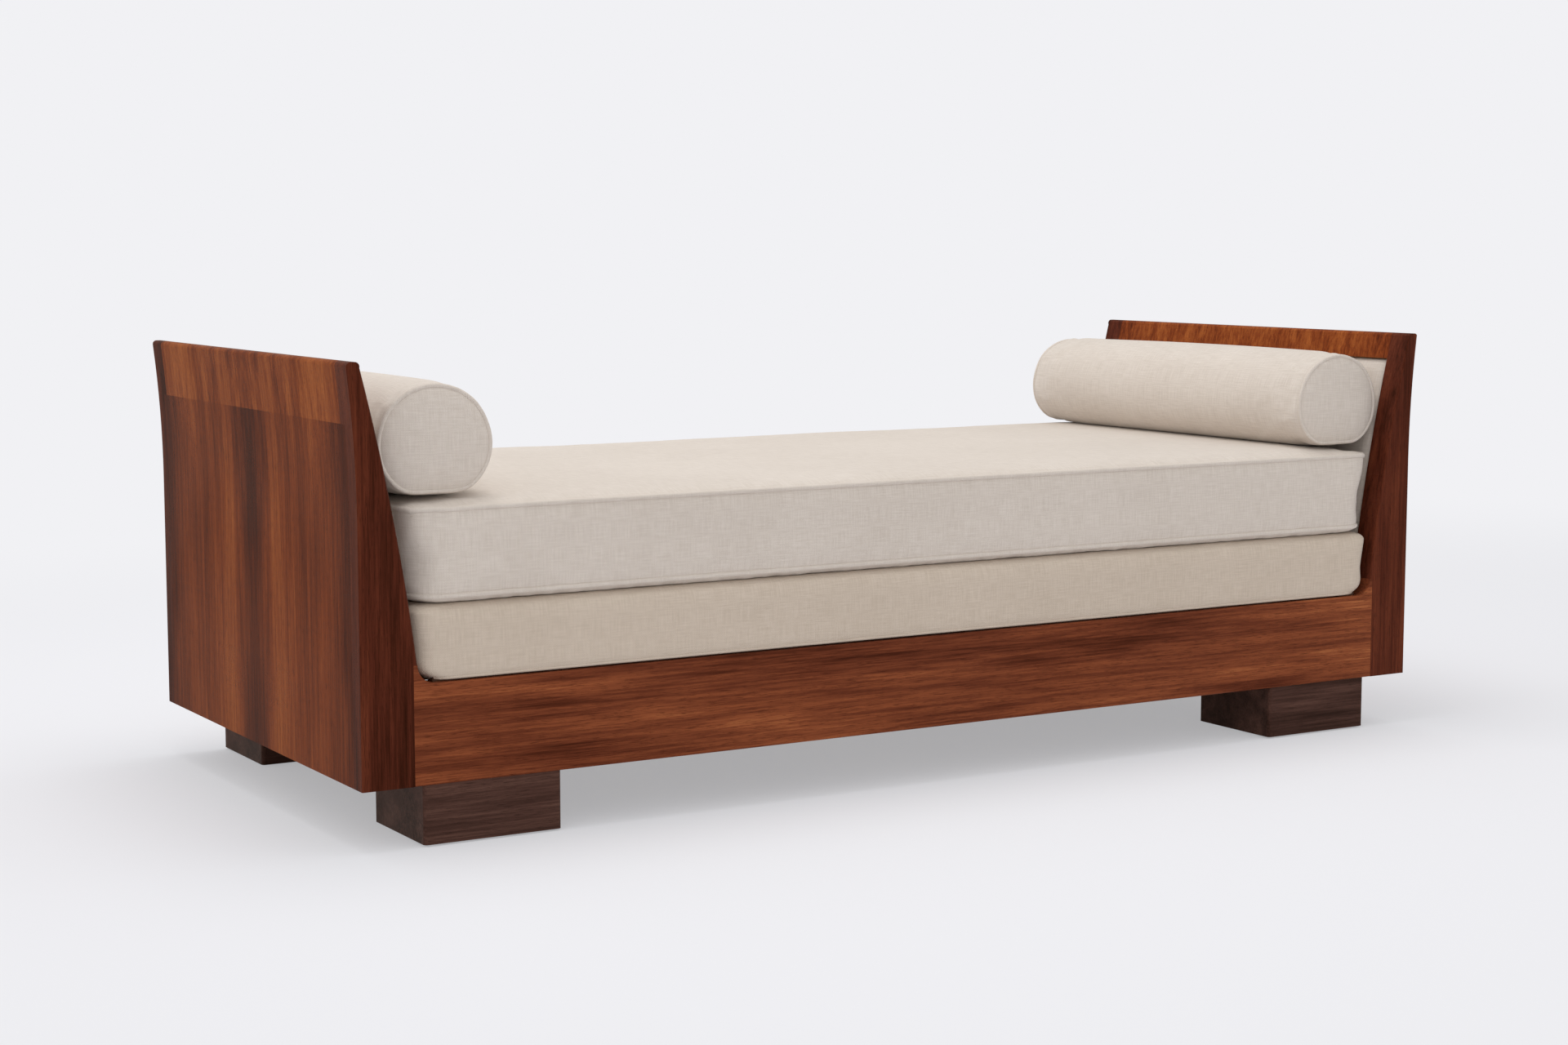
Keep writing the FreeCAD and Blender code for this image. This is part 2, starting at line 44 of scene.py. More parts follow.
PIPING_SINK = 0.55            # how deep the piping lies in the cover, as a share of its radius
WELT_RADIUS = 0.0026          # cord along the foot of the base's cover
STITCH_PITCH = 0.0075
STITCH_LENGTH = 0.0048
STITCH_THICKNESS = 0.0009
CORD_SPACING = 0.009          # between the sections of a piping

MATTRESS_CROWN = 0.011
MATTRESS_ROLL = 0.013         # rounding along the mattress's lower edges
MATTRESS_CORNER = 0.047
MATTRESS_DRAW = 0.005         # how far its sides pull in at their middle
MATTRESS_REST = 0.004         # how far its top may rise past its CAD height
PRESSED_FROM = 0.69           # where the bolsters begin to hold the top down
PRESSED_OVER = 0.07
BORDER_BULGE = 0.0015

BASE_CROWN = 0.002
BASE_ROLL = 0.012             # rounding along the base's upper edges
BASE_CORNER = 0.028
BASE_DRAW = 0.0008
BASE_INSET = 0.001
BASE_FALL = 0.03
SWEEP_RADIUS = 0.0265         # corners of the base that sit in the rail's sweep

BOLSTER_AROUND = 96           # points round a bolster
BOLSTER_STEPS = 60            # sections along it
BOLSTER_FLAT = 0.070
BOLSTER_SAG = 0.009
BOLSTER_RIM = 0.93            # size of a bolster's ends, as a share of its middle
BOLSTER_SEAM = 0.007          # from the end of a bolster to its seam
BOLSTER_DOME = 0.0065         # how far its end bulges past the seam
BOLSTER_SHOULDER = 0.011      # length over which it fills out beside a seam
BOLSTER_TAPER = 0.012
BOLSTER_SLACK = 0.0024

PAD_ROLL = 0.006              # turned-in rim of the covers inside the ends

# Cloth simulation
SIM_FRAMES = 20
SIM_PRESSURE = 4.0

# Camera at the photo's view, with its pitch down and its turn to the right in degrees
LENS_MM = 60.73
SENSOR_MM = 36.0
CAMERA_PLACE = (-2.413, -3.943, 0.8935)
CAMERA_PITCH = 6.292
CAMERA_YAW = 30.9945


def srgb(red, green, blue):
    """A colour given in screen values, as the linear value that a shader takes."""
    def linear(c):
        c /= 255
        return c / 12.92 if c <= 0.04045 else ((c + 0.055) / 1.055) ** 2.4
    return (linear(red), linear(green), linear(blue), 1.0)


# Studio
LAMP_PLACE = (-0.5, 0.2, 3.6)
LAMP_TARGET = (0.0, 0.0, 0.3)
LAMP_SIZE = (2.5, 2.0)
LAMP_WATTS = 41
BACKDROP_COLOUR = srgb(241, 241, 244)
FLOOR_COLOUR = srgb(236, 236, 240)
FADE_START, FADE_END = 1.3, 3.6   # where the floor turns into the backdrop
FLOOR_REACH = 16.0
FLOOR_GLOW = 0.42             # share of the backdrop in the floor near the divan
SKY_STRENGTH = 0.82
MIRRORED_STRENGTH = 0.3       # how bright the studio looks in the polish
POLISH_SHINE = 0.12
POLISH_TINT = (1.0, 0.52, 0.32, 1.0)
STUDIO_WARMTH = (1.0, 0.9, 0.82, 1.0)


class Finish:
    """A material being made: short calls that add a node and join it up."""

    def __init__(self, name):
        self.material = bpy.data.materials.new(name)
        self.material.use_nodes = True
        self.tree = self.material.node_tree
        self.shader = self.tree.nodes["Principled BSDF"]

    def feed(self, socket, value):
        if isinstance(value, bpy.types.NodeSocket):
            self.tree.links.new(value, socket)
        elif value is not None:
            socket.default_value = value

    def node(self, kind, settings=None, **inputs):
        made = self.tree.nodes.new(kind)
        for key, value in (settings or {}).items():
            setattr(made, key, value)
        for key, value in inputs.items():
            self.feed(made.inputs[key.replace("_", " ")], value)
        return made

    def maths(self, operation, *values):
        made = self.node("ShaderNodeMath", {"operation": operation})
        for socket, value in zip(made.inputs, values):
            self.feed(socket, value)
        return made.outputs[0]

    def vector(self, operation, first, second):
        made = self.node("ShaderNodeVectorMath", {"operation": operation})
        self.feed(made.inputs[0], first)
        self.feed(made.inputs[1], second)
        return made.outputs["Value" if operation == "LENGTH" else "Vector"]

    def places(self, which="Object"):
        return self.node("ShaderNodeTexCoord").outputs[which]

    def noise(self, where, stretch, detail=4.0, roughness=0.55, distortion=0.0):
        scaled = self.vector("MULTIPLY", where, stretch)
        made = self.node("ShaderNodeTexNoise", Vector=scaled, Scale=1.0, Detail=detail,
                         Roughness=roughness, Distortion=distortion)
        return made.outputs["Fac"]

    def spread(self, value, low, high, to_low=0.0, to_high=1.0):
        made = self.node("ShaderNodeMapRange", {"interpolation_type": "SMOOTHSTEP"})
        for key, number in (("Value", value), ("From Min", low), ("From Max", high),
                            ("To Min", to_low), ("To Max", to_high)):
            self.feed(made.inputs[key], number)
        return made.outputs[0]

    def ramp(self, value, stops):
        made = self.node("ShaderNodeValToRGB", Fac=value)
        elements = made.color_ramp.elements
        while len(elements) < len(stops):
            elements.new(0.5)
        for element, (place, colour) in zip(elements, stops):
            element.position = place
            element.color = colour
        return made.outputs["Color"]

    def mix(self, share, first, second):
        made = self.node("ShaderNodeMix", {"data_type": "RGBA"})
        for socket, value in ((made.inputs[0], share), (made.inputs[6], first), (made.inputs[7], second)):
            self.feed(socket, value)
        return made.outputs[2]

    def bump(self, height, distance, strength=1.0, over=None):
        made = self.node("ShaderNodeBump", Height=height, Distance=distance, Strength=strength)
        if over is not None:
            self.feed(made.inputs["Normal"], over)
        return made.outputs["Normal"]

    def set(self, **inputs):
        for key, value in inputs.items():
            self.feed(self.shader.inputs[key.replace("_", " ")], value)
        return self.material


def stretched(along, grain, across):
    """Noise scales for a grain that runs along one axis: slow along it, quick across it."""
    return tuple(grain if axis == along else across for axis in "XYZ")


def polished_wood(name, along, stops, seed, figure_across=9.0, matched=False, fields=None):
    """Polished mahogany: broad figure, fine streaks and dark pores under a clear polish.
    matched folds the figure about the middle of the depth, as two leaves opened like a book,
    and fields darkens and lightens it by the distance from that fold."""
    look = Finish(name)
    where = look.places()
    if matched:
        split = look.node("ShaderNodeSeparateXYZ", Vector=where)
        folded = look.maths("ABSOLUTE", split.outputs["Y"])
        joined = look.node("ShaderNodeCombineXYZ", X=split.outputs["X"], Y=folded, Z=split.outputs["Z"])
        where = joined.outputs[0]
    where = look.vector("ADD", where, (seed, seed * 1.7, seed * 0.6))
    figure = look.noise(where, stretched(along, 1.3, figure_across), 3.0, 0.5, 0.6)
    ribbon = look.noise(where, stretched(along, 2.6, 55.0), 4.0, 0.6, 0.3)
    streaks = look.noise(where, stretched(along, 7.0, 260.0), 6.0, 0.65)
    pores = look.noise(where, stretched(along, 55.0, 1500.0), 2.0, 0.5)
    tone = look.maths("MULTIPLY", look.spread(figure, 0.3, 0.7), 0.42)
    tone = look.maths("MULTIPLY_ADD", look.spread(ribbon, 0.32, 0.68), 0.28, tone)
    tone = look.maths("MULTIPLY_ADD", look.spread(streaks, 0.34, 0.66), 0.3, tone)
    if fields:
        wander = look.noise(where, stretched(along, 1.6, 5.0), 2.0, 0.5)
        offset = look.maths("MULTIPLY_ADD", wander, 0.07, -0.035)
        shade = look.ramp(look.maths("ADD", folded, offset), fields)
        tone = look.maths("MULTIPLY_ADD", shade, 0.48, look.maths("MULTIPLY", tone, 0.56))
    colour = look.ramp(tone, stops)
    pore_mask = look.spread(pores, 0.56, 0.68)
    colour = look.mix(look.maths("MULTIPLY", pore_mask, 0.7), colour, stops[0][1])
    gloss = look.spread(look.noise(where, (3.0, 3.0, 3.0), 3.0), 0.35, 0.75, 0.26, 0.4)
    dents = look.noise(where, (18.0, 18.0, 18.0), 2.0)
    waves = look.bump(dents, 0.0006, 0.25)
    relief = look.bump(look.maths("SUBTRACT", 1.0, pore_mask), 0.00012, 0.5, waves)
    return look.set(Base_Color=colour, Roughness=gloss, Normal=relief, Specular_IOR_Level=POLISH_SHINE,
                    Specular_Tint=POLISH_TINT)


def plain_wood(name, along, light, dark):
    """Planed inner woodwork with open grain and no finish."""
    look = Finish(name)
    where = look.places()
    rings = look.noise(where, stretched(along, 1.5, 38.0), 4.0, 0.6, 0.8)
    lines = look.noise(where, stretched(along, 9.0, 420.0), 4.0, 0.6)
    tone = look.maths("MULTIPLY_ADD", look.spread(rings, 0.35, 0.68), 0.7, look.maths("MULTIPLY", lines, 0.3))
    colour = look.ramp(tone, [(0.1, light), (0.75, dark)])
    return look.set(Base_Color=colour, Roughness=look.spread(lines, 0.3, 0.7, 0.62, 0.8),
                    Normal=look.bump(lines, 0.0003, 0.4))


def cream_cloth(name, light, shade):
    """Off-white woven cloth: over and under threads, slubs and faint unevenness of colour."""
    look = Finish(name)
    where = look.places("UV")
    split = look.node("ShaderNodeSeparateXYZ", Vector=where)
    jitter = look.noise(where, (90.0, 90.0, 90.0), 2.0)
    turns = 2 * math.pi / WEAVE_PITCH
    threads = []
    for axis, shift in (("X", 2.2), ("Y", -2.2)):
        wander = look.maths("MULTIPLY", jitter, shift)
        threads.append(look.maths("SINE", look.maths("MULTIPLY_ADD", split.outputs[axis], turns, wander)))
    warp, weft = threads
    cross = look.maths("MULTIPLY_ADD", look.maths("MULTIPLY", warp, weft), 0.5, 0.5)
    slub_u = look.noise(where, (28.0, 620.0, 1.0), 3.0, 0.6)
    slub_v = look.noise(where, (620.0, 28.0, 1.0), 3.0, 0.6)
    slubs = look.maths("MULTIPLY", look.maths("ADD", slub_u, slub_v), 0.5)
    body = look.places()
    cloudy = look.noise(body, (5.0, 5.0, 5.0), 3.0)
    tone = look.maths("MULTIPLY", cross, 0.32)
    tone = look.maths("MULTIPLY_ADD", look.spread(slubs, 0.36, 0.64), 0.55, tone)
    tone = look.maths("MULTIPLY_ADD", look.spread(cloudy, 0.3, 0.7), 0.13, tone)
    colour = look.ramp(tone, [(0.0, shade), (1.0, light)])
    crossings = look.bump(cross, 0.0006, 0.55)
    relief = look.bump(slubs, 0.0011, 0.5, crossings)
    return look.set(Base_Color=colour, Roughness=0.92, Normal=relief, Sheen_Weight=0.18,
                    Sheen_Roughness=0.45, Specular_IOR_Level=0.2)


def jute_webbing(name):
    look = Finish(name)
    where = look.places()
    across = look.noise(where, (900.0, 900.0, 10.0), 2.0)
    threads = look.noise(where, (160.0, 160.0, 10.0), 3.0, 0.7)
    tone = look.maths("MULTIPLY_ADD", across, 0.5, look.maths("MULTIPLY", threads, 0.5))
    colour = look.ramp(tone, [(0.3, srgb(118, 92, 58)), (0.7, srgb(176, 148, 102))])
    return look.set(Base_Color=colour, Roughness=0.95, Normal=look.bump(across, 0.0006, 0.7))


def felt(name):
    look = Finish(name)
    hairs = look.noise(look.places(), (700.0, 700.0, 700.0), 3.0)
    colour = look.ramp(hairs, [(0.3, srgb(52, 44, 38)), (0.7, srgb(84, 73, 64))])
    return look.set(Base_Color=colour, Roughness=0.97, Normal=look.bump(hairs, 0.0006, 0.6))


def plated_steel(name):
    look = Finish(name)
    marks = look.noise(look.places(), (240.0, 240.0, 240.0), 3.0)
    return look.set(Base_Color=srgb(172, 172, 170), Metallic=1.0,
                    Roughness=look.spread(marks, 0.3, 0.7, 0.28, 0.45))


def mesh_object(name, points, faces, smooth=True):
    mesh = bpy.data.meshes.new(name)
    mesh.from_pydata([tuple(p) for p in points], [], faces)
    mesh.validate()
    mesh.update()
    if smooth:
        mesh.shade_smooth()
    made = bpy.data.objects.new(name, mesh)
    bpy.context.scene.collection.objects.link(made)
    return made


def coordinates(made):
    flat = np.zeros(len(made.data.vertices) * 3)
    made.data.vertices.foreach_get("co", flat)
    return flat.reshape(-1, 3)


def set_coordinates(made, points):
    made.data.vertices.foreach_set("co", np.asarray(points, float).ravel())
    made.data.update()


def node_points(*names):
    """Vertices of CAD nodes, in metres."""
    return np.concatenate([coordinates(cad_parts[name]) for name in names])


def uneven(points, scale, seed):
    """Smooth noise between -1 and 1 at each point, with a scale per axis."""
    stretch = np.asarray(scale, float)
    shift = np.array([seed, seed * 2.3, seed * 0.7])
    return np.array([noise.noise(Vector(p)) for p in points * stretch + shift])


def apply_modifiers(made):
    """Turns the evaluated object into its plain mesh."""
    graph = bpy.context.evaluated_depsgraph_get()
    mesh = bpy.data.meshes.new_from_object(made.evaluated_get(graph))
    made.modifiers.clear()
    old = made.data
    made.data = mesh
    bpy.data.meshes.remove(old)
    return made


def simulate(made, pinned, cap, ease=0.02):
    """Blows the cover up like a filled case. Its seams stay put, and no point moves further than cap."""
    rest = coordinates(made)
    group = made.vertex_groups.new(name="seams")
    group.add([int(i) for i in pinned], 1.0, "REPLACE")
    cloth = made.modifiers.new("cloth", "CLOTH")
    settings = cloth.settings
    settings.quality = 5
    settings.mass = 0.3
    settings.tension_stiffness = settings.compression_stiffness = 12
    settings.shear_stiffness = 6
    settings.bending_stiffness = 0.6
    settings.vertex_group_mass = "seams"
    settings.use_pressure = True
    settings.uniform_pressure_force = SIM_PRESSURE
    settings.shrink_min = -ease
    settings.effector_weights.gravity = 0.0
    cloth.collision_settings.use_collision = False
    scene = bpy.context.scene
    for step in range(1, SIM_FRAMES + 1):
        scene.frame_set(step)
    graph = bpy.context.evaluated_depsgraph_get()
    shaped = made.evaluated_get(graph).to_mesh()
    moved = np.zeros(len(shaped.vertices) * 3)
    shaped.vertices.foreach_get("co", moved)
    made.evaluated_get(graph).to_mesh_clear()
    made.modifiers.remove(cloth)
    scene.frame_set(1)
    shift = moved.reshape(-1, 3) - rest
    length = np.linalg.norm(shift, axis=1, keepdims=True)
    limit = cap * np.tanh(length / cap) / np.maximum(length, 1e-9)
    set_coordinates(made, rest + shift * limit)


def smooth_once(made):
    level = made.modifiers.new("smooth", "SUBSURF")
    level.levels = level.render_levels = 1
    apply_modifiers(made)
    made.data.shade_smooth()


def box_uv(made):
    """Lays the cloth's thread directions on each face, in metres."""
    mesh = made.data
    layer = mesh.uv_layers.new(name="cloth")
    points = coordinates(made)
    loops = np.zeros(len(mesh.loops), int)
    mesh.loops.foreach_get("vertex_index", loops)
    normals = np.zeros(len(mesh.polygons) * 3)
    mesh.polygons.foreach_get("normal", normals)
    sizes = np.zeros(len(mesh.polygons), int)
    mesh.polygons.foreach_get("loop_total", sizes)
    facing = np.repeat(np.abs(normals.reshape(-1, 3)).argmax(1), sizes)
    corner = points[loops]
    across = np.where(facing == 0, corner[:, 1], corner[:, 0])
    upward = np.where(facing == 2, corner[:, 1], corner[:, 2])
    layer.data.foreach_set("uv", np.stack([across, upward], 1).ravel())


def ring_of(nx, ny):
    """Grid places round the edge of a grid, in order."""
    ring = [(i, 0) for i in range(nx)]
    ring += [(nx, j) for j in range(ny)]
    ring += [(i, ny) for i in range(nx, 0, -1)]
    ring += [(0, j) for j in range(ny, 0, -1)]
    return ring


def rounded(x, y, reach_x, reach_y, corner):
    """Moves points of a rectangle's grid so that its corners become round."""
    dx = np.abs(x) - (reach_x - corner)
    dy = np.abs(y) - (reach_y - corner)
    inside = (dx > 0) & (dy > 0)
    far = np.maximum(dx, dy)
    length = np.maximum(np.hypot(dx, dy), 1e-9)
    new_x = np.where(inside, np.sign(x) * (reach_x - corner + dx * far / length), x)
    new_y = np.where(inside, np.sign(y) * (reach_y - corner + dy * far / length), y)
    return new_x, new_y


def boxed_cushion(name, rows, crown, corner, draw, fall=0.05):
    """Closed box cushion. Each row of its border is a height, a half length and a half width.
    Returns the object, the vertices of each row and those of its underside."""
    reach_x, reach_y = max(row[1] for row in rows), max(row[2] for row in rows)
    nx, ny = round(2 * reach_x / GRID), round(2 * reach_y / GRID)
    ring = ring_of(nx, ny)
    u, v = np.meshgrid(np.linspace(-1, 1, nx + 1), np.linspace(-1, 1, ny + 1), indexing="ij")

    def sheet_at(row, lift):
        z, rx, ry = row
        x, y = rounded(u * rx, v * ry, rx, ry, corner)
        x = x * (1 - draw * (1 - v ** 2) / rx)
        y = y * (1 - draw * (1 - u ** 2) / ry)
        rise = (1 - np.exp(-(1 - np.abs(u)) * rx / fall)) * (1 - np.exp(-(1 - np.abs(v)) * ry / fall))
        return np.stack([x, y, z + lift * rise], -1)

    bottom = np.arange((nx + 1) * (ny + 1)).reshape(nx + 1, ny + 1)
    top = bottom + bottom.size
    points = [sheet_at(rows[0], 0.0).reshape(-1, 3), sheet_at(rows[-1], crown).reshape(-1, 3)]
    rings = [np.array([bottom[p] for p in ring])]
    start = 2 * bottom.size
    for row in rows[1:-1]:
        sheet = sheet_at(row, 0.0)
        points.append(np.array([sheet[p] for p in ring]))
        rings.append(np.arange(start, start + len(ring)))
        start += len(ring)
    rings.append(np.array([top[p] for p in ring]))
    faces = []
    for i in range(nx):
        for j in range(ny):
            faces.append((top[i, j], top[i + 1, j], top[i + 1, j + 1], top[i, j + 1]))
            faces.append((bottom[i, j], bottom[i, j + 1], bottom[i + 1, j + 1], bottom[i + 1, j]))
    for low, high in zip(rings, rings[1:]):
        for k in range(len(ring)):
            n = (k + 1) % len(ring)
            faces.append((low[k], low[n], high[n], high[k]))
    made = mesh_object(name, np.concatenate(points), [tuple(int(i) for i in f) for f in faces])
    return made, rings, bottom.ravel()


def roll_rows(radius, turns=4):
    """Steps round a rolled edge: rise above its end, and how far the side draws in there."""
    angles = [math.pi / 2 * (step + 1) / (turns + 1) for step in range(turns)]
    return [(0.0, radius)] + [(radius * (1 - math.cos(a)), radius * (1 - math.sin(a))) for a in angles]


def pucker(made, seams, depth, reach, pitch, seed):
    """Small gathers that run out from the seams and fade into the cloth."""
    points = coordinates(made)
    normals = np.zeros(len(points) * 3)
    made.data.vertices.foreach_get("normal", normals)
    seam_points = np.concatenate([points[seam] for seam in seams])
    batch = 400
    distance = np.empty(len(points))
    for start in range(0, len(points), batch):
        block = points[start:start + batch, None, :] - seam_points[None, :, :]
        distance[start:start + batch] = np.sqrt((block ** 2).sum(-1).min(1))
    wave = uneven(points, (1 / pitch,) * 3, seed)
    soft = uneven(points, (6.0, 6.0, 6.0), seed + 5)
    fade = np.exp(-distance / reach)
    shift = depth * wave * fade * (0.6 + 0.8 * np.abs(soft))
    shift[np.concatenate(seams)] = 0.0
    set_coordinates(made, points + normals.reshape(-1, 3) * shift[:, None])


def piping_tree():
    """Follows a loop of edges with a round cord of cloth."""
    tree = bpy.data.node_groups.new("piping", "GeometryNodeTree")
    faceplate = tree.interface
    faceplate.new_socket("Geometry", in_out="INPUT", socket_type="NodeSocketGeometry")
    for label, default in (("Radius", PIPING_RADIUS), ("Spacing", CORD_SPACING)):
        socket = faceplate.new_socket(label, in_out="INPUT", socket_type="NodeSocketFloat")
        socket.default_value = default
    faceplate.new_socket("Cloth", in_out="INPUT", socket_type="NodeSocketMaterial")
    faceplate.new_socket("Geometry", in_out="OUTPUT", socket_type="NodeSocketGeometry")
    nodes, links = tree.nodes, tree.links
    given, result = nodes.new("NodeGroupInput"), nodes.new("NodeGroupOutput")
    path = nodes.new("GeometryNodeMeshToCurve")
    even = nodes.new("GeometryNodeResampleCurve")
    even.mode = "LENGTH"
    section = nodes.new("GeometryNodeCurvePrimitiveCircle")
    section.inputs["Resolution"].default_value = 10
    tube = nodes.new("GeometryNodeCurveToMesh")
    smooth = nodes.new("GeometryNodeSetShadeSmooth")
    real = nodes.new("GeometryNodeRealizeInstances")
    paint = nodes.new("GeometryNodeSetMaterial")
    links.new(given.outputs["Geometry"], path.inputs["Mesh"])
    links.new(path.outputs["Curve"], even.inputs["Curve"])
    links.new(given.outputs["Spacing"], even.inputs["Length"])
    links.new(given.outputs["Radius"], section.inputs["Radius"])
    links.new(even.outputs["Curve"], tube.inputs["Curve"])
    links.new(section.outputs["Curve"], tube.inputs["Profile Curve"])
    links.new(tube.outputs["Mesh"], smooth.inputs["Geometry"])
    links.new(smooth.outputs["Geometry"], real.inputs["Geometry"])
    links.new(real.outputs["Geometry"], paint.inputs["Geometry"])
    links.new(given.outputs["Cloth"], paint.inputs["Material"])
    links.new(paint.outputs["Geometry"], result.inputs["Geometry"])
    return tree


def stitch_tree():
    """Sets a row of short raised stitches along a loop of edges."""
    tree = bpy.data.node_groups.new("stitches", "GeometryNodeTree")
    faceplate = tree.interface
    faceplate.new_socket("Geometry", in_out="INPUT", socket_type="NodeSocketGeometry")
    for label, default in (("Pitch", STITCH_PITCH), ("Length", STITCH_LENGTH),
                           ("Thickness", STITCH_THICKNESS)):
        socket = faceplate.new_socket(label, in_out="INPUT", socket_type="NodeSocketFloat")
        socket.default_value = default
    faceplate.new_socket("Thread", in_out="INPUT", socket_type="NodeSocketMaterial")
    faceplate.new_socket("Geometry", in_out="OUTPUT", socket_type="NodeSocketGeometry")
    nodes, links = tree.nodes, tree.links
    given, result = nodes.new("NodeGroupInput"), nodes.new("NodeGroupOutput")
    path = nodes.new("GeometryNodeMeshToCurve")
    even = nodes.new("GeometryNodeCurveToPoints")
    even.mode = "LENGTH"
    bead = nodes.new("GeometryNodeMeshUVSphere")
    bead.inputs["Segments"].default_value = 6
    bead.inputs["Rings"].default_value = 4
    bead.inputs["Radius"].default_value = 0.5
    size = nodes.new("ShaderNodeCombineXYZ")
    place = nodes.new("GeometryNodeInstanceOnPoints")
    turn = nodes.new("FunctionNodeAlignRotationToVector")
    turn.axis = "Z"
    real = nodes.new("GeometryNodeRealizeInstances")
    paint = nodes.new("GeometryNodeSetMaterial")
    links.new(given.outputs["Geometry"], path.inputs["Mesh"])
    links.new(path.outputs["Curve"], even.inputs["Curve"])
    links.new(given.outputs["Pitch"], even.inputs["Length"])
    links.new(given.outputs["Thickness"], size.inputs["X"])
    links.new(given.outputs["Thickness"], size.inputs["Y"])
    links.new(given.outputs["Length"], size.inputs["Z"])
    links.new(even.outputs["Points"], place.inputs["Points"])
    links.new(bead.outputs["Mesh"], place.inputs["Instance"])
    links.new(even.outputs["Tangent"], turn.inputs["Vector"])
    links.new(turn.outputs["Rotation"], place.inputs["Rotation"])
    links.new(size.outputs["Vector"], place.inputs["Scale"])
    links.new(place.outputs["Instances"], real.inputs["Geometry"])
    links.new(real.outputs["Geometry"], paint.inputs["Geometry"])
    links.new(given.outputs["Thread"], paint.inputs["Material"])
    links.new(paint.outputs["Geometry"], result.inputs["Geometry"])
    return tree


def loop_object(name, loops):
    """Closed loops of edges through lists of points."""
    points, edges = [], []
    for loop in loops:
        first = len(points)
        points += [tuple(p) for p in loop]
        edges += [(first + i, first + (i + 1) % len(loop)) for i in range(len(loop))]
    mesh = bpy.data.meshes.new(name)
    mesh.from_pydata(points, edges, [])
    made = bpy.data.objects.new(name, mesh)
    bpy.context.scene.collection.objects.link(made)
    return made


def grown(name, loops, tree, **inputs):
    """A mesh that a tree grows along loops of edges."""
    made = loop_object(name, loops)
    growth = made.modifiers.new("growth", "NODES")
    growth.node_group = tree
    sockets = {item.name: item.identifier for item in tree.interface.items_tree if item.in_out == "INPUT"}
    for label, value in inputs.items():
        growth[sockets[label]] = value
    return apply_modifiers(made)


def pushed_out(points, amount):
    """A loop moved away from the middle of the divan in plan."""
    flat = points * (1, 1, 0)
    length = np.maximum(np.linalg.norm(flat, axis=1, keepdims=True), 1e-9)
    return points + flat / length * amount


def finish_soft(made, body, material, replaced):
    """A cover that takes the place of CAD solids and rides on their body."""
    made.data.materials.clear()
    made.data.materials.append(material)
    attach(made, body)
    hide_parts(*replaced)


def finish_trim(made, body):
    """Piping or stitches, which ride on their cover's body."""
    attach(made, body)


def node_profile(name, heights):
    """Half length and half width of a CAD cushion at some heights, read off its side rows."""
    points = np.abs(node_points(name))
    levels = np.unique(np.round(points[:, 2], 4))
    reach = np.array([points[np.abs(points[:, 2] - z) < 0.0003][:, :2].max(0) for z in levels])
    return [(z, np.interp(z, levels, reach[:, 0]), np.interp(z, levels, reach[:, 1])) for z in heights]


def make_mattress(cloth, thread, piping, stitches):
    """Loose mattress: crowned top, rolled under edge and a border between two piped seams."""
    node = "mattress"
    low, high = node_points(node).min(0), node_points(node).max(0)
    top_edge = high[2] - MATTRESS_CROWN
    inset = PIPING_RADIUS * PIPING_SINK
    roll = roll_rows(MATTRESS_ROLL)
    seam_row = len(roll) - 1
    heights = [low[2] + rise for rise, _ in roll]
    heights += list(np.linspace(heights[-1], top_edge - inset, 10)[1:])
    rows = []
    for z, reach_x, reach_y in node_profile(node, heights):
        share = (z - heights[seam_row]) / (heights[-1] - heights[seam_row])
        full = BORDER_BULGE * math.sin(math.pi * share) if share > 0 else 0.0
        rows.append((z, reach_x - inset + full, reach_y - inset + full))
    made, rings, base = boxed_cushion("mattress_cover", rows, MATTRESS_CROWN, MATTRESS_CORNER, MATTRESS_DRAW)
    points = coordinates(made)
    top = points[:, 2] > top_edge - 0.0005
    sway = uneven(points, (2.6, 3.4, 1.0), 3.0) * 0.0022 + uneven(points, (7.0, 8.0, 1.0), 8.0) * 0.0009
    points[:, 2] += np.where(top, sway, 0.0)
    set_coordinates(made, points)
    seams = [rings[seam_row], rings[-1]]
    simulate(made, np.concatenate(seams + [base]), 0.005)
    pucker(made, seams, 0.0024, 0.032, 0.02, 4.0)
    smooth_once(made)
    points = coordinates(made)
    pressed = np.clip((np.abs(points[:, 0]) - PRESSED_FROM) / PRESSED_OVER, 0, 1)
    points[:, 2] = np.clip(points[:, 2], low[2], high[2] + MATTRESS_REST * (1 - pressed))
    set_coordinates(made, points)
    loops = [points[seam] for seam in seams]
    box_uv(made)
    finish_soft(made, node, cloth, [node])
    trim = grown("mattress_piping", loops, piping, Radius=PIPING_RADIUS, Cloth=cloth)
    box_uv(trim)
    finish_trim(trim, node)
    beside = PIPING_RADIUS * 1.75
    lines = [pushed_out(loops[0] + (0, 0, beside), 0.0006), pushed_out(loops[1] - (0, 0, beside), 0.0006)]
    row = grown("mattress_stitches", lines, stitches, Thread=thread)
    finish_trim(row, node)


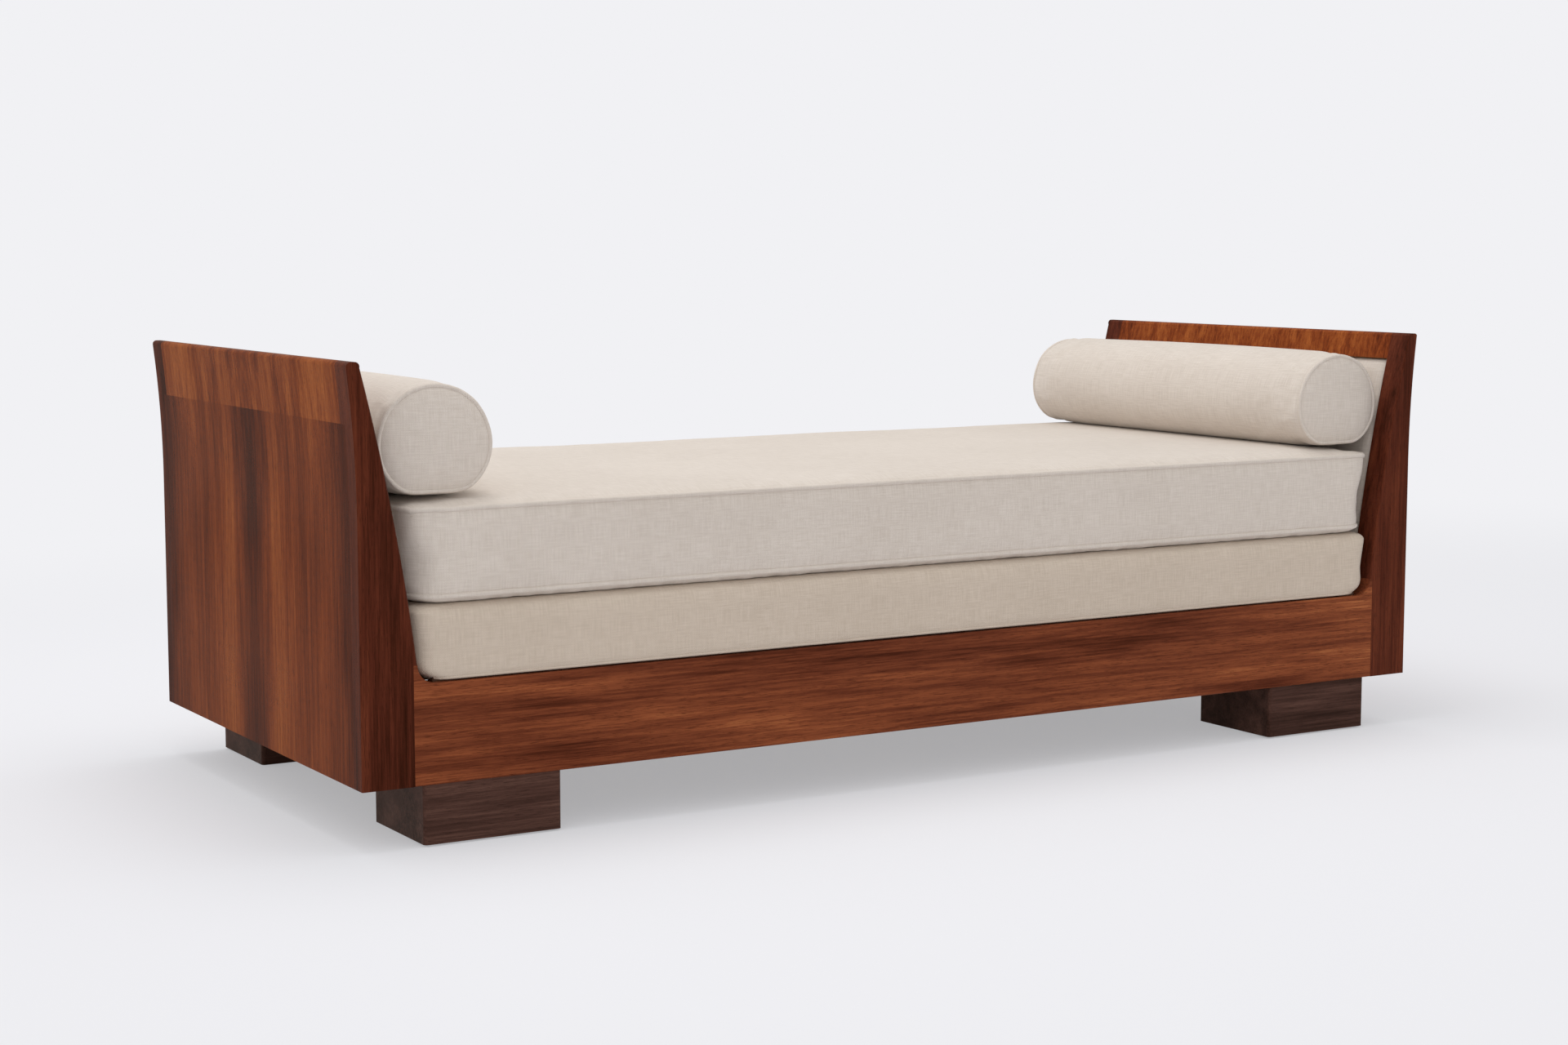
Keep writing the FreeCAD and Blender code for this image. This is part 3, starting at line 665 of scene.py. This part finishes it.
def make_base(cloth, piping):
    """Fixed upholstered base: one tight cover over the pad and both borders."""
    nodes = ["base_pad", "base_front_border", "base_back_border"]
    low, high = node_points(*nodes).min(0), node_points(*nodes).max(0)
    border = np.abs(node_points("base_front_border")[:, 0]).max()
    pad = node_profile("base_pad", [high[2] - BASE_ROLL])[0]
    heights = list(np.linspace(low[2], high[2] - BASE_ROLL, 9))
    rows = []
    for z in heights:
        lift = z - low[2]
        sweep = max(SWEEP_RADIUS - lift, 0.0)
        tuck = SWEEP_RADIUS - math.sqrt(max(SWEEP_RADIUS ** 2 - sweep ** 2, 0.0))
        share = lift / (heights[-1] - low[2])
        reach_x = border + (pad[1] - border) * max(share * 2 - 1, 0.0)
        rows.append((z, reach_x - tuck, high[1] - BASE_INSET))
    for rise, drawn in reversed(roll_rows(BASE_ROLL)):
        rows.append((high[2] - BASE_CROWN - rise, pad[1] - drawn, high[1] - BASE_INSET - drawn))
    made, rings, base = boxed_cushion("base_cover", rows, BASE_CROWN, BASE_CORNER, BASE_DRAW, BASE_FALL)
    simulate(made, np.concatenate([rings[0], rings[-1], base]), 0.0025, 0.008)
    pucker(made, [rings[0]], 0.001, 0.02, 0.024, 14.0)
    smooth_once(made)
    points = coordinates(made)
    points[:, 2] = np.minimum(points[:, 2], high[2] - 0.0002)
    set_coordinates(made, points)
    edge = points[rings[0]]
    box_uv(made)
    finish_soft(made, "frame", cloth, nodes)
    front = edge + (0, 0, WELT_RADIUS * 0.6)
    trim = grown("base_welt", [pushed_out(front, WELT_RADIUS * 0.3)], piping, Radius=WELT_RADIUS, Cloth=cloth)
    box_uv(trim)
    finish_trim(trim, "frame")


def bolster_outline(wide, tall, count):
    """Section of a bolster round its middle: round above, full at the sides and flat below."""
    flat, sag = BOLSTER_FLAT / 2, BOLSTER_SAG
    lower = np.linspace(-math.pi / 2, 0, 30)
    upper = np.linspace(0, math.pi / 2, 30)[1:]
    side = [(flat + (wide - flat) * math.cos(a), -sag + (tall - sag) * math.sin(a)) for a in lower]
    side += [(wide * math.cos(a), -sag + (tall + sag) * math.sin(a)) for a in upper]
    whole = np.array(side + [(-x, z) for x, z in reversed(side)][1:] + [side[0]])
    length = np.concatenate([[0], np.cumsum(np.linalg.norm(np.diff(whole, axis=0), axis=1))])
    even = np.linspace(0, length[-1], count, endpoint=False)
    return np.stack([np.interp(even, length, whole[:, 0]), np.interp(even, length, whole[:, 1])], 1)


def bolster_stations(end):
    """Places along a bolster and its size at each, with the index of its two end seams."""
    seam, rim = end - BOLSTER_SEAM, BOLSTER_RIM
    shares = (0.12, 0.3, 0.5, 0.7, 0.87)
    dome = [(-seam - BOLSTER_DOME * (1 - share ** 2), rim * share) for share in shares]
    body = []
    for step in range(1, BOLSTER_STEPS):
        t = -1 + 2 * step / BOLSTER_STEPS
        fullness = 1 - math.exp(-(1 - abs(t)) * seam / BOLSTER_SHOULDER)
        body.append((t * seam, rim + (1 - rim) * fullness - BOLSTER_TAPER * t * t * fullness))
    stations = dome + [(-seam, rim)] + body + [(seam, rim)] + [(-y, r) for y, r in reversed(dome)]
    return stations, len(dome), len(stations) - 1 - len(dome)


def make_bolster(side, cloth, thread, piping, stitches):
    """Soft bolster with piped ends, gathers along its seams, flat where it lies on the mattress."""
    node = "bolster_" + side
    low, high = node_points(node).min(0), node_points(node).max(0)
    middle, reach = (low + high) / 2, (high - low) / 2
    around = BOLSTER_AROUND
    outline = bolster_outline(reach[0] - 0.0015, reach[2] - 0.001, around)
    stations, first, last = bolster_stations(high[1])
    points = []
    for y, size in stations:
        across, upward = middle[0] + size * outline[:, 0], middle[2] + size * outline[:, 1]
        points.append(np.stack([across, np.full(around, y), upward], 1))
    faces = []
    for row in range(len(stations) - 1):
        for k in range(around):
            n, a, b = (k + 1) % around, row * around, (row + 1) * around
            faces.append((a + k, b + k, b + n, a + n))
    centre = len(stations) * around
    points.append(np.array([[middle[0], -high[1], middle[2]], [middle[0], high[1], middle[2]]]))
    for k in range(around):
        n = (k + 1) % around
        faces.append((centre, k, n))
        faces.append((centre + 1, centre - around + n, centre - around + k))
    made = mesh_object("bolster_cover_" + side, np.concatenate(points), faces)
    seams = [np.arange(row * around, (row + 1) * around) for row in (first, last)]
    seed = 21.0 if side == "left" else 33.0
    simulate(made, np.concatenate(seams), 0.003, 0.012)
    pucker(made, seams, 0.0032, 0.03, 0.016, seed)
    points = coordinates(made)
    outward = (points - middle) * (1, 0, 1)
    outward /= np.maximum(np.linalg.norm(outward, axis=1, keepdims=True), 1e-9)
    slack = uneven(points, (9.0, 2.4, 9.0), seed) * BOLSTER_SLACK - BOLSTER_SLACK / 2
    slack *= 1 - np.exp(-np.maximum(points[seams[1]][:, 1].mean() - np.abs(points[:, 1]), 0) / 0.03)
    points += outward * slack[:, None]
    points[:, 2] = np.maximum(points[:, 2], low[2] + 0.0006)
    set_coordinates(made, points)
    smooth_once(made)
    loops = [coordinates(made)[seam] for seam in seams]
    box_uv(made)
    finish_soft(made, node, cloth, [node])
    trim = grown("bolster_piping_" + side, loops, piping, Radius=PIPING_RADIUS * 0.85, Cloth=cloth)
    box_uv(trim)
    finish_trim(trim, node)
    beside = PIPING_RADIUS * 1.6
    lines = [loop + (0, math.copysign(beside, -loop[:, 1].mean()), 0) for loop in loops]
    row = grown("bolster_stitches_" + side, lines, stitches, Thread=thread)
    finish_trim(row, node)


def envelope(z, x, side, keep=0.0006, rounds=12):
    """Quadratic through the outermost points on one side of a cloud, as its coefficients."""
    fit = np.polyfit(z, x, 2)
    for _ in range(rounds):
        outer = side * (x - np.polyval(fit, z)) > -keep
        fit = np.polyfit(z[outer], x[outer], 2)
    return fit


def make_inner_pad(side, cloth):
    """Tight upholstery on the inside of an end, crowned and turned in at its rim."""
    node = side + "_end_inner_pad"
    sign = 1 if side == "right" else -1
    points = node_points(node)
    points[:, 0] *= sign
    low, high = points.min(0), points.max(0)
    ny, nz = round((high[1] - low[1]) / GRID), round((high[2] - low[2]) / GRID)
    y = np.linspace(low[1], high[1], ny + 1)
    z = np.linspace(low[2], high[2], nz + 1)
    yy, zz = np.meshgrid(y, z, indexing="ij")
    edge = np.minimum(np.minimum(yy - low[1], high[1] - yy), np.minimum(zz - low[2], high[2] - zz))
    face_fit = envelope(points[:, 2], points[:, 0], -1)
    back_fit = envelope(points[:, 2], points[:, 0], 1)
    rolled = PAD_ROLL - np.sqrt(np.maximum(PAD_ROLL ** 2 - (PAD_ROLL - edge) ** 2, 0))
    tuck = np.where(edge < PAD_ROLL, rolled, 0.0)
    face = np.polyval(face_fit, zz) + tuck + 0.0006
    rear = np.polyval(back_fit, zz) - 0.0004
    sheets = [np.stack([sign * face, yy, zz], -1), np.stack([sign * rear, yy, zz], -1)]
    grid = np.arange((ny + 1) * (nz + 1)).reshape(ny + 1, nz + 1)
    faces = []
    for i in range(ny):
        for j in range(nz):
            quad = (grid[i, j], grid[i + 1, j], grid[i + 1, j + 1], grid[i, j + 1])
            other = tuple(q + grid.size for q in quad)
            faces += [quad[::-1], other] if sign > 0 else [quad, other[::-1]]
    ring = [grid[p] for p in ring_of(ny, nz)]
    for a, b in zip(ring, ring[1:] + ring[:1]):
        side_face = (a, b, b + grid.size, a + grid.size)
        faces.append(side_face if sign > 0 else side_face[::-1])
    made = mesh_object(side + "_inner_cover", np.concatenate([s.reshape(-1, 3) for s in sheets]),
                       [tuple(int(i) for i in f) for f in faces])
    smooth_once(made)
    box_uv(made)
    finish_soft(made, "frame", cloth, [node])


def paint_woodwork():
    """Gives every CAD node that stays in view its own finish."""
    deep, dark = srgb(50, 20, 10), srgb(88, 36, 16)
    warm, light = srgb(132, 62, 27), srgb(170, 94, 44)
    panel_tones = [(0.1, deep), (0.35, dark), (0.62, warm), (0.9, light)]
    cap_tones = [(0.1, dark), (0.4, warm), (0.8, light)]
    stile_tones = [(0.1, deep), (0.5, srgb(86, 39, 26)), (0.9, srgb(110, 54, 35))]
    rail_tones = [(0.1, srgb(70, 30, 17)), (0.4, srgb(110, 55, 35)), (0.75, srgb(144, 78, 48)),
                  (0.95, srgb(172, 102, 62))]
    foot_tones = [(0.1, srgb(50, 33, 28)), (0.6, srgb(82, 57, 50)), (0.95, srgb(104, 75, 65))]
    beech = (srgb(196, 164, 120), srgb(156, 118, 78))
    # Beech painted dark for the base's rails: painted shade, so that they read as shadow
    painted_shade_beech = (srgb(104, 70, 46), srgb(74, 46, 30))
    # Distance from the fold in metres, and how light the field is there
    fields = [(0.0, 0.18), (0.05, 0.2), (0.1, 0.72), (0.28, 0.66), (0.36, 0.22), (0.44, 0.12)]
    panel_fields = [(place, (grey, grey, grey, 1)) for place, grey in fields]
    finishes = {
        "outer_panel": polished_wood("veneer_panel", "Z", panel_tones, 2.0, matched=True,
                                     fields=panel_fields),
        "cap_rail": polished_wood("veneer_cap", "Z", cap_tones, 2.0, matched=True),
        "stile": polished_wood("stile_wood", "Z", stile_tones, 5.0, figure_across=24.0),
        "long_rail": polished_wood("veneer_rail", "X", rail_tones, 9.0),
        "foot": polished_wood("dark_feet", "X", foot_tones, 12.0, figure_across=20.0),
        "wood_x": plain_wood("beech_x", "X", *beech),
        "wood_y": plain_wood("beech_y", "Y", *beech),
        "wood_z": plain_wood("beech_z", "Z", *beech),
        "base_x": plain_wood("painted_shade_beech_x", "X", *painted_shade_beech),
        "base_y": plain_wood("painted_shade_beech_y", "Y", *painted_shade_beech),
        "webbing": jute_webbing("jute"),
        "steel": plated_steel("zinc_plate"),
        "felt": felt("brown_felt"),
    }
    # The first word found in a node's name decides
    rules = [("stile", "stile"), ("outer_panel", "outer_panel"), ("cap_rail", "cap_rail"),
             ("foot_plate", "wood_x"), ("foot_bolts", "steel"), ("foot_glides", "felt"), ("foot", "foot"),
             ("webbing", "webbing"), ("lower_rail", "wood_y"), ("stretcher", "wood_y"),
             ("backing_board", "wood_z"), ("studs", "wood_z"), ("base_front_rail", "base_x"),
             ("base_back_rail", "base_x"), ("base_", "base_y"), ("rail", "long_rail")]
    for name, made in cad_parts.items():
        for word, finish in rules:
            if word in name:
                made.data.materials.clear()
                made.data.materials.append(finishes[finish])
                break


def make_stage():
    """Pale studio floor. Away from the divan it fades into the backdrop's own colour."""
    corners = [(x * FLOOR_REACH, y * FLOOR_REACH, 0.0) for x, y in ((-1, -1), (1, -1), (1, 1), (-1, 1))]
    floor = mesh_object("studio_floor", corners, [(0, 1, 2, 3)], smooth=False)
    look = Finish("studio_paper")
    paper = look.set(Base_Color=FLOOR_COLOUR, Roughness=1.0, Specular_IOR_Level=0.0)
    glow = look.node("ShaderNodeEmission", Color=BACKDROP_COLOUR, Strength=1.0)
    away = look.vector("LENGTH", look.vector("MULTIPLY", look.places(), (0.62, 1.0, 1.0)), None)
    ray = look.node("ShaderNodeLightPath")
    share = look.spread(away, FADE_START, FADE_END, FLOOR_GLOW, 1.0)
    mirrored = look.node("ShaderNodeEmission", Color=STUDIO_WARMTH, Strength=MIRRORED_STRENGTH)
    lit = look.node("ShaderNodeMixShader")
    look.feed(lit.inputs[0], ray.outputs["Is Glossy Ray"])
    look.feed(lit.inputs[1], look.shader.outputs[0])
    look.feed(lit.inputs[2], mirrored.outputs[0])
    blend = look.node("ShaderNodeMixShader")
    look.feed(blend.inputs[0], look.maths("MULTIPLY", ray.outputs["Is Camera Ray"], share))
    look.feed(blend.inputs[1], lit.outputs[0])
    look.feed(blend.inputs[2], glow.outputs[0])
    look.feed(look.tree.nodes["Material Output"].inputs["Surface"], blend.outputs[0])
    floor.data.materials.append(paper)


def make_lights():
    """One soft lamp overhead and an even sky, which the backdrop's colour hides from the camera."""
    data = bpy.data.lights.new("overhead", "AREA")
    data.shape = "RECTANGLE"
    data.size, data.size_y = LAMP_SIZE
    data.energy = LAMP_WATTS
    lamp = bpy.data.objects.new("overhead", data)
    lamp.location = LAMP_PLACE
    lamp.rotation_mode = "QUATERNION"
    lamp.rotation_quaternion = (Vector(LAMP_TARGET) - Vector(LAMP_PLACE)).to_track_quat("-Z", "Y")
    bpy.context.scene.collection.objects.link(lamp)
    world = bpy.data.worlds.new("studio")
    world.use_nodes = True
    nodes, links = world.node_tree.nodes, world.node_tree.links
    sky = nodes["Background"]
    sky.inputs["Color"].default_value = (1.0, 1.0, 1.0, 1.0)
    sky.inputs["Strength"].default_value = SKY_STRENGTH
    mirrored = nodes.new("ShaderNodeBackground")
    mirrored.inputs["Color"].default_value = STUDIO_WARMTH
    mirrored.inputs["Strength"].default_value = MIRRORED_STRENGTH
    seen = nodes.new("ShaderNodeBackground")
    seen.inputs["Color"].default_value = BACKDROP_COLOUR
    ray = nodes.new("ShaderNodeLightPath")
    lit = nodes.new("ShaderNodeMixShader")
    links.new(ray.outputs["Is Glossy Ray"], lit.inputs[0])
    links.new(sky.outputs[0], lit.inputs[1])
    links.new(mirrored.outputs[0], lit.inputs[2])
    blend = nodes.new("ShaderNodeMixShader")
    links.new(ray.outputs["Is Camera Ray"], blend.inputs[0])
    links.new(lit.outputs[0], blend.inputs[1])
    links.new(seen.outputs[0], blend.inputs[2])
    links.new(blend.outputs[0], nodes["World Output"].inputs["Surface"])
    bpy.context.scene.world = world


def make_camera():
    data = bpy.data.cameras.new("camera")
    data.lens = LENS_MM
    data.sensor_width = SENSOR_MM
    camera = bpy.data.objects.new("camera", data)
    camera.location = CAMERA_PLACE
    camera.rotation_euler = (math.radians(90 - CAMERA_PITCH), 0.0, math.radians(-CAMERA_YAW))
    bpy.context.scene.collection.objects.link(camera)
    bpy.context.scene.camera = camera


bpy.context.scene.view_settings.view_transform = "Standard"
cloth = cream_cloth("cream_weave", srgb(230, 220, 210), srgb(204, 192, 180))
# The base's cloth is the cream cloth made darker and warmer: painted shade for its lower border, which gets
# less light
shaded_base_cloth = cream_cloth("base_weave_painted_shade", srgb(220, 205, 189), srgb(194, 178, 160))
thread = cream_cloth("cream_thread", srgb(214, 202, 188), srgb(186, 172, 158))
piping = piping_tree()
stitches = stitch_tree()
make_camera()
paint_woodwork()
make_mattress(cloth, thread, piping, stitches)
make_base(shaded_base_cloth, piping)
for side in ("left", "right"):
    make_bolster(side, cloth, thread, piping, stitches)
    make_inner_pad(side, cloth)
make_stage()
make_lights()
